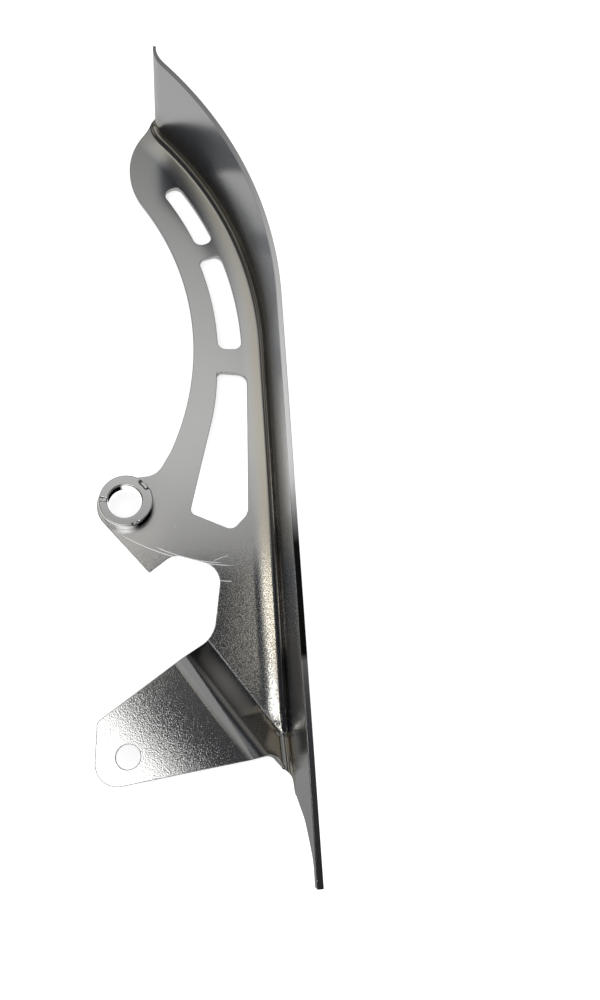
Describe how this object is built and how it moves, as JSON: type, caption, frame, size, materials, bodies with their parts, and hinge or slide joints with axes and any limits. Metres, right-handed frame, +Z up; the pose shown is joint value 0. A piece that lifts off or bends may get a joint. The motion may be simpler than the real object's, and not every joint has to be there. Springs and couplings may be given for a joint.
{
  "type": "motorcycle belt guard",
  "caption": "Pressed sheet guard of L-shaped section that follows a belt round its pulley, with a slotted curved web, a spacer ring on its mounting eye and an offset bolt tab.",
  "frame": {"origin": "axis of the mounting eye, at the underside of the flat web", "axes": "+Z up from the underside of the web towards the free edge of the flange and along the eye's axis, +Y along the straight stretch of the flange towards the curved end, +X from the eye towards the flange"},
  "size_m": [0.0783, 0.3501, 0.05],
  "materials": {
    "shell_chrome": "bright chrome plate with fine scratches",
    "ring_chrome": "bright chrome plate"
  },
  "bodies": {
    "root": {"guard_shell": "shell_chrome", "spacer_ring": "ring_chrome"}
  },
  "joints": []
}
